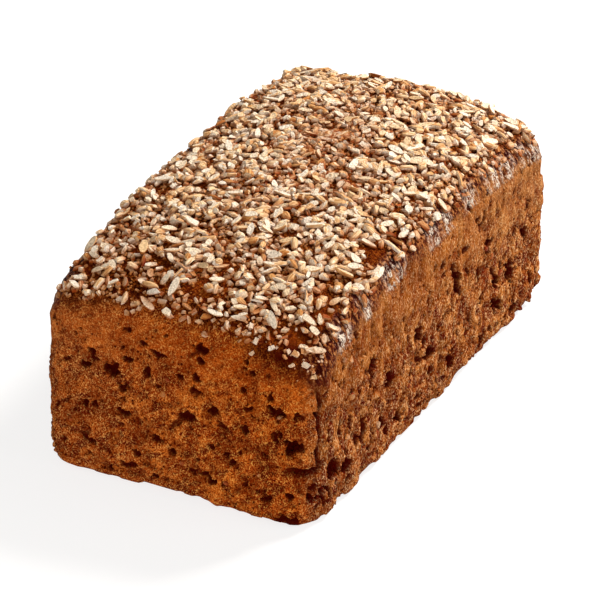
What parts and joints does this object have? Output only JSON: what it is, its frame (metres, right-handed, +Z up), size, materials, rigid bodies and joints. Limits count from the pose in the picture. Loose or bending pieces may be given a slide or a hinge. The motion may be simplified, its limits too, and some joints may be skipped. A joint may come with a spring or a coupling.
{
  "type": "rye bread loaf",
  "caption": "Tin-baked wholemeal rye loaf: a brick with a gently domed top strewn with cracked rye, and straight walls pitted where the dough met the tin.",
  "frame": {"origin": "centre of the flat base, on the surface the loaf stands on", "axes": "+X along the loaf's length, away from the end that the picture shows; +Y across it, away from the long side that the picture shows; +Z up through the strewn top"},
  "size_m": [0.1794, 0.102, 0.0795],
  "materials": {
    "crust": "matte",
    "cracked_rye": "matte"
  },
  "bodies": {
    "root": {"loaf": "crust"}
  },
  "joints": []
}
